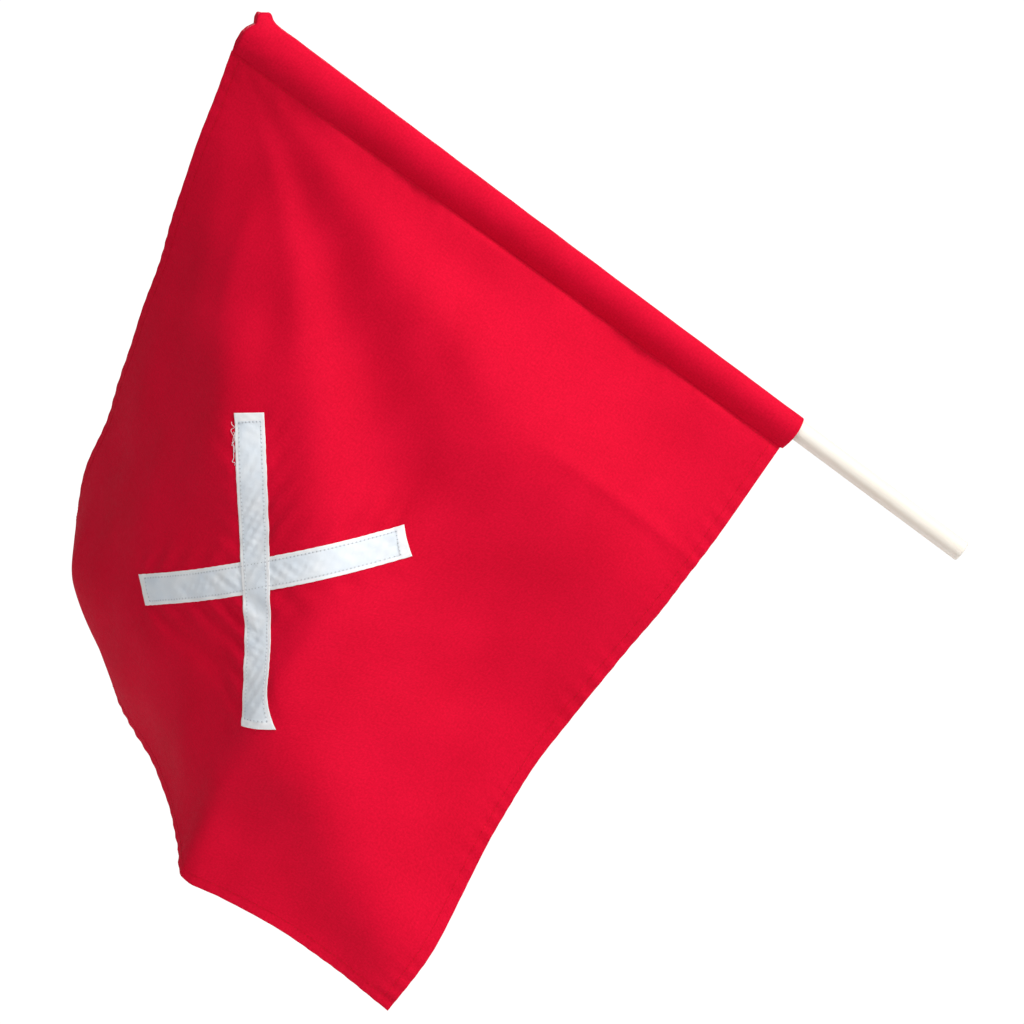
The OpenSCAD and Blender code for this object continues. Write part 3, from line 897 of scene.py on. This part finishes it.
def bead_stitches(centre, head, out, radius):
    """Each stitch is a tube of seven rings: it stands on the surface at its middle and sinks at
    both ends with the fourth power of the distance, where it also gets thin."""
    t = np.array([-1, -0.84, -0.5, 0, 0.5, 0.84, 1])
    lift = radius * (0.8 - 1.9 * t**4)
    thin = radius * (1 - 0.7 * t**8)
    angle = np.linspace(0, 2 * np.pi, STITCH_SIDES, endpoint=False)
    side = np.cross(head, out)
    spine = (
        centre[:, None]
        + (t * STITCH_LENGTH / 2)[None, :, None] * head[:, None]
        + lift[None, :, None] * out[:, None]
    )
    ring = (
        np.cos(angle)[None, None, :, None] * side[:, None, None]
        + np.sin(angle)[None, None, :, None] * out[:, None, None]
    )
    points = spine[:, :, None] + thin[None, :, None, None] * ring
    tube = grid_quads(len(t), STITCH_SIDES, wrap_cols=True)
    last = (len(t) - 1) * STITCH_SIDES
    caps = np.array([[3, 2, 1, 0], [5, 4, 3, 0], [last, last + 1, last + 2, last + 3],
                     [last, last + 3, last + 4, last + 5]])
    one = np.vstack([tube, caps])
    size = len(t) * STITCH_SIDES
    quads = (one[None] + (np.arange(len(centre)) * size)[:, None, None]).reshape(-1, 4)
    return points.reshape(-1, 3), quads


def stitch_row(a0, d0, a1, d1, height, side):
    """Middles, directions and outward sides of the stitches along a straight line on the cloth, on
    its face (side 1) or its back (side -1), with a slight wander as a hand-fed row has."""
    length = np.hypot(a1 - a0, d1 - d0)
    k = np.arange(int(length / STITCH_PITCH)) + 0.5
    share = k * STITCH_PITCH / length
    wander = 0.12 * np.sin(k * 0.9) * np.array([[d1 - d0], [a0 - a1]]) / length
    a = np.clip(a0 + (a1 - a0) * share + wander[0], 0, HOIST)
    d = np.clip(d0 + (d1 - d0) * share + wander[1], 0, FLY)
    step = 0.8 * np.array([a1 - a0, d1 - d0]) / length
    heights = height(a, d) if callable(height) else np.full(len(k), height)
    centre, n = on_cloth(a, d, heights)
    ahead = on_cloth(np.clip(a + step[0], 0, HOIST), np.clip(d + step[1], 0, FLY), heights)[0]
    head = ahead - centre
    head /= np.linalg.norm(head, axis=-1, keepdims=True)
    return centre, head, side * n


def sew(name, rows, radius, finish):
    """One piece of many stitches from several rows, with its finish, on the flag."""
    centre, head, out = (np.concatenate([row[k] for row in rows]) for k in range(3))
    points, quads = bead_stitches(centre, head, out, radius)
    made = add_mesh(name, points, quads, own_place=points * MM)
    made.data.materials.append(finish)
    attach(made, "flag")
    return made


def thread_finish(name, dark, light, sheen):
    """Spun thread: a fine twist as slanting bands, with a little fuzz and uneven colour."""
    made, tree, shader, place = new_material(
        name, "own_place", **{"Specular_IOR_Level": 0.15, "Sheen_Weight": sheen}
    )
    twist = add_node(
        tree, "TexWave", {"Vector": place, "Scale": 900.0, "Distortion": 1.5, "Detail": 1.0},
        bands_direction="DIAGONAL",
    )
    patches = mottle(tree, place, 300.0, 0.0, 1.0)
    tone = math_node(tree, "MULTIPLY", math_node(tree, "ADD", twist.outputs["Fac"], patches), 0.5)
    tree.links.new(mix_colours(tree, tone, dark, light), shader.inputs["Base Color"])
    tree.links.new(mottle(tree, place, 500.0, 0.5, 0.7), shader.inputs["Roughness"])
    set_bump(tree, shader, twist.outputs["Fac"], 0.00005)
    return made


red_thread = thread_finish("red_sewing_thread", *RED_YARN, 0.0)
white_thread = thread_finish("white_sewing_thread", *WHITE_YARN, 0.2)

HEM_BACK = -(HALF_CLOTH + HEM_EXTRA)
SEAM_BACK = -(REAR_OFF + 2.2 * HALF_CLOTH)
HEM_LINES = {
    "tip_hem_stitching": (HEM_ROW, 4, HEM_ROW, FLY - HEM_ROW),
    "handle_hem_stitching": (HOIST - HEM_ROW, 4, HOIST - HEM_ROW, FLY - HEM_ROW),
    "fly_hem_stitching": (HEM_ROW, FLY - HEM_ROW, HOIST - HEM_ROW, FLY - HEM_ROW),
}
for cad_name, line in HEM_LINES.items():
    rows = [stitch_row(*line, HALF_CLOTH, 1), stitch_row(*line, HEM_BACK, -1)]
    threads = sew(cad_name + "_thread", rows, STITCH_RADIUS, red_thread)
    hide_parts(cad_name)

seam_line = (1, SEAM_ROW, HOIST - 1, SEAM_ROW)
seam_rows = [stitch_row(*seam_line, HALF_CLOTH, 1), stitch_row(*seam_line, SEAM_BACK, -1)]
seam_threads = sew("sleeve_seam_thread", seam_rows, STITCH_RADIUS, red_thread)
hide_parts("sleeve_seam_stitching")


def end_rows():
    """Stitches across the pinched end, just inside its edge, on both of its faces."""
    line = sleeve_middle(SLEEVE_END_X + np.array([0.6, 0.8]), 900)[0]
    n = grid_normals(line)[0]
    head = np.gradient(line[0], axis=0)
    head /= np.linalg.norm(head, axis=-1, keepdims=True)
    rows = []
    for side in (-1, 1):
        face = np.flatnonzero(side * line[0, :, 1] > 0.2)
        spots = np.arange(-20.0, -3.0, STITCH_PITCH)
        k = face[np.abs(line[0, face, 2] - spots[:, None]).argmin(1)]
        out = n[k] * (side * np.sign(n[k, 1:2]))
        rows.append((line[0, k] + HALF_CLOTH * out, head[k], out))
    return rows


end_threads = sew(
    "closed_end_thread", end_rows(), 1.1 * STITCH_RADIUS, red_thread
)
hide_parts("end_tuck_stitching")


def tape_rows(turn, over):
    """The two long rows and the two end rows that hold a strip down, on its face, and the same
    rows of bobbin thread on the back of the cloth."""
    side, end = TAPE_WIDTH / 2 - TAPE_INSET, TAPE_LENGTH / 2 - END_INSET
    lines = [((-end, side), (end, side)), ((-end, -side), (end, -side))]
    lines += [((end, -side), (end, side)), ((-end, -side), (-end, side))]

    def on_tape(a, d):
        """The height of a strip's face at a flat place of the cloth."""
        return tape_height(*tape_reach(a, d, turn), over)

    rows = []
    for start, stop in lines:
        line = (*tape_place(*start, turn), *tape_place(*stop, turn))
        rows.append(stitch_row(*line, on_tape, 1))
        rows.append(stitch_row(*line, -HALF_CLOTH, -1))
    return rows


for cad_name, turn, over in (("strip_over", 1, True), ("strip_under", -1, False)):
    rows = tape_rows(turn, over)
    threads = sew(cad_name + "_thread", rows, STITCH_RADIUS, white_thread)
    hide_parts(cad_name + "_stitching")


# ---- loose thread ends ----
# White sewing thread that was never trimmed, at the top corner of the upper strip: it wanders in
# and out along the strip's edge in small loops.

THREAD_RADIUS = 0.2
THREAD_SIDES = 8


def tube(path, out, radius, sides):
    """A closed tube: rings round each point of a path, set square to the path's direction."""
    head = np.gradient(path, axis=0)
    head /= np.linalg.norm(head, axis=-1, keepdims=True)
    side = np.cross(head, out)
    side /= np.linalg.norm(side, axis=-1, keepdims=True)
    lift = np.cross(side, head)
    angle = np.linspace(0, 2 * np.pi, sides, endpoint=False)[None, :, None]
    points = path[:, None] + radius * (np.cos(angle) * side[:, None] + np.sin(angle) * lift[:, None])
    quads = grid_quads(len(path), sides, wrap_cols=True)
    last = (len(path) - 1) * sides
    return points, quads, [list(range(sides))[::-1], list(range(last, last + sides))]


def loose_thread(name, start, length, amount, phase):
    """A thread that runs along the strip's edge from a distance to its end, and swings away from
    the edge and back by an uneven wave."""
    t = np.linspace(0, 1, 140)
    run = -TAPE_LENGTH / 2 + start + length * t + 1.2 * np.sin(17 * t + phase)
    swing = amount * (0.75 + 0.55 * wobble(length * t, 8.5, phase) + 0.3 * np.sin(31 * t))
    off = -TAPE_WIDTH / 2 - 0.1 - np.clip(swing, -0.6, None)
    a, d = tape_place(run, off, 1)
    height = HALF_CLOTH + THREAD_RADIUS + 0.45 + 0.4 * np.sin(23 * t + phase)
    path, n = on_cloth(a, d, height)
    points, quads, ends = tube(path, n, THREAD_RADIUS, THREAD_SIDES)
    made = add_mesh(name, points, quads, ends, own_place=points * MM)
    made.data.materials.append(white_thread)
    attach(made, "flag")
    return made


loose_threads = [
    loose_thread("loose_thread_long", 5, 30, 2.2, 0.7),
    loose_thread("loose_thread_short", 12, 17, 1.5, 2.9),
]
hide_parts("loose_thread_ends")


# ---- studio ----
# A white room with a pale floor well below the flag, one large soft light from the upper right,
# weaker ones from the left and behind, and a long lens level with the flag's middle.

FLOOR_Z = -0.75
FLOOR_REACH = 1.6
VIEW_WIDTH = 0.7563
VIEW_DISTANCE = 2.2
CAMERA_PLACE = (-0.27065, -VIEW_DISTANCE, -0.01647)
LIGHT_AIM = (-0.3, 0.0, 0.0)
ROOM_LIGHT = 0.29
ROOM_SEEN = 1.05
FLOOR_PAINT = (0.86, 0.86, 0.87, 1.0)

# Each light's place, size and power
STUDIO_LIGHTS = {
    "key_light": ((1.4, -1.65, 1.95), 1.0, 91.0),
    "left_light": ((-2.1, -1.6, 0.5), 1.2, 7.0),
    "back_light": ((-0.6, 2.6, 1.3), 1.6, 44.0),
}


def pale_floor():
    """A round plate, as one ring of points and a centre face, in a nearly white matt paint."""
    angle = np.linspace(0, 2 * np.pi, 96, endpoint=False)
    ring = np.stack([FLOOR_REACH * np.cos(angle), FLOOR_REACH * np.sin(angle), 0 * angle], -1)
    mesh = bpy.data.meshes.new("pale_floor")
    mesh.from_pydata((ring + [0, 0, FLOOR_Z]).tolist(), [], [list(range(96))])
    floor = bpy.data.objects.new("pale_floor", mesh)
    bpy.context.scene.collection.objects.link(floor)
    paint = bpy.data.materials.new("pale_floor_paint")
    paint.use_nodes = True
    shader = paint.node_tree.nodes["Principled BSDF"]
    shader.inputs["Base Color"].default_value = FLOOR_PAINT
    shader.inputs["Roughness"].default_value = 0.9
    mesh.materials.append(paint)


def soft_light(name, place, size, power):
    """A square area light aimed at the middle of the flag."""
    lamp = bpy.data.lights.new(name, "AREA")
    lamp.size = size
    lamp.energy = power
    made = bpy.data.objects.new(name, lamp)
    made.location = place
    aim = Vector(LIGHT_AIM) - Vector(place)
    made.rotation_euler = aim.to_track_quat("-Z", "Y").to_euler()
    bpy.context.scene.collection.objects.link(made)


def white_room():
    """The world is white to the camera and dimmer to the object, so that light keeps a side."""
    world = bpy.data.worlds.new("white_room")
    world.use_nodes = True
    tree = world.node_tree
    seen = add_node(tree, "LightPath").outputs["Is Camera Ray"]
    strength = math_node(tree, "MULTIPLY_ADD", seen, ROOM_SEEN - ROOM_LIGHT, ROOM_LIGHT)
    tree.nodes["Background"].inputs["Color"].default_value = (1.0, 1.0, 1.0, 1.0)
    tree.links.new(strength, tree.nodes["Background"].inputs["Strength"])
    bpy.context.scene.world = world


pale_floor()
white_room()
for light_name, settings in STUDIO_LIGHTS.items():
    soft_light(light_name, *settings)

lens = bpy.data.cameras.new("camera")
lens.sensor_width = 36.0
lens.lens = lens.sensor_width * VIEW_DISTANCE / VIEW_WIDTH
camera = bpy.data.objects.new("camera", lens)
camera.location = CAMERA_PLACE
camera.rotation_euler = (np.pi / 2, 0.0, 0.0)
bpy.context.scene.collection.objects.link(camera)
bpy.context.scene.camera = camera
bpy.context.scene.view_settings.view_transform = "Standard"
